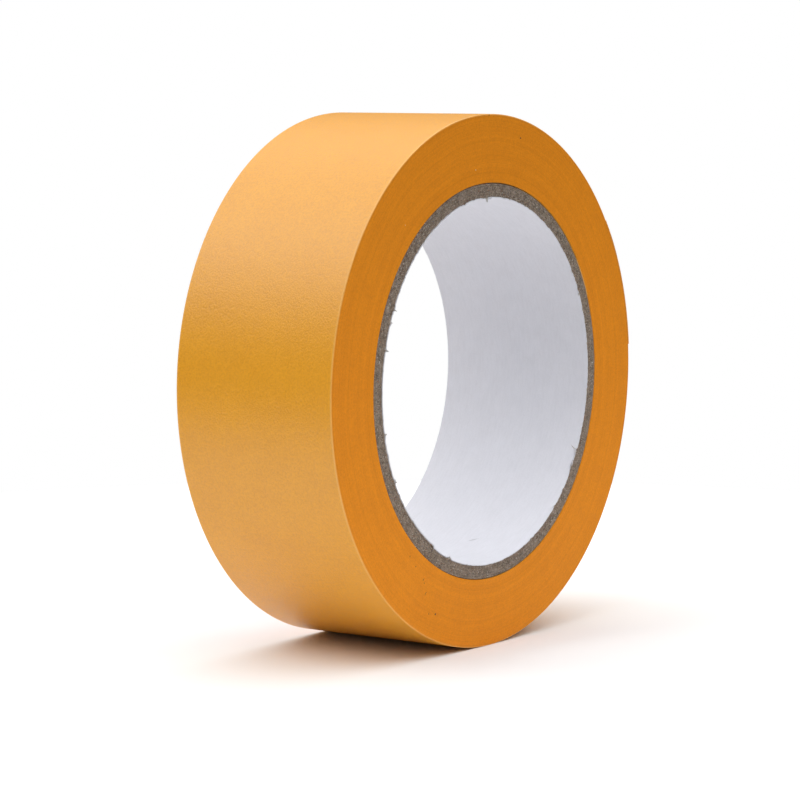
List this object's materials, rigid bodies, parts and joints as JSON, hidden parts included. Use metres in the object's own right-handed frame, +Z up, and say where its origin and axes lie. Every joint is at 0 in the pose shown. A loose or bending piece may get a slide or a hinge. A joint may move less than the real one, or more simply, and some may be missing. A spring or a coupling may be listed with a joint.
{
  "type": "masking tape roll",
  "caption": "Roll of orange paper masking tape on a spirally wound paperboard core with a white paper liner, with a loose end that peels and curls away from the roll.",
  "frame": {"origin": "on the axis of the core's bore, midway across the tape's width", "axes": "+Y along the roll's axis, from the face where core and tape end flush towards the rear face; +Z up, with the roll standing on its rim; the loose end hangs down on the +X side"},
  "size_m": [0.1102, 0.0384, 0.1103],
  "materials": {
    "tape": "satin crepe-free paper backing, orange",
    "core_liner": "smooth white liner paper",
    "core_board": "grey-brown recycled board, cut edge"
  },
  "bodies": {
    "roll": {"core_liner": "core_liner", "core_ply_1": "core_board", "core_ply_2": "core_board", "core_ply_3": "core_board", "core_ply_4": "core_board", "core_ply_5": "core_board", "wound_tape": "tape"},
    "loose_end_1": {"loose_end_1": "tape"},
    "loose_end_2": {"loose_end_2": "tape"},
    "loose_end_3": {"loose_end_3": "tape"}
  },
  "joints": [
    {"name": "end_lift", "type": "hinge", "parent": "roll", "child": "loose_end_1", "pos_m": [0.04524, 0, 0.03168], "axis": [0, -1, 0], "range_deg": [0, 60]},
    {"name": "end_curl_1", "type": "hinge", "parent": "loose_end_1", "child": "loose_end_2", "pos_m": [0.05021, 0, 0.02301], "axis": [0, -1, 0], "range_deg": [0, 60]},
    {"name": "end_curl_2", "type": "hinge", "parent": "loose_end_2", "child": "loose_end_3", "pos_m": [0.05353, 0, 0.0136], "axis": [0, -1, 0], "range_deg": [0, 60]}
  ],
  "couplings": [
    {"joint": "end_curl_1", "follows": "end_lift", "ratio": 1},
    {"joint": "end_curl_2", "follows": "end_lift", "ratio": 1}
  ]
}
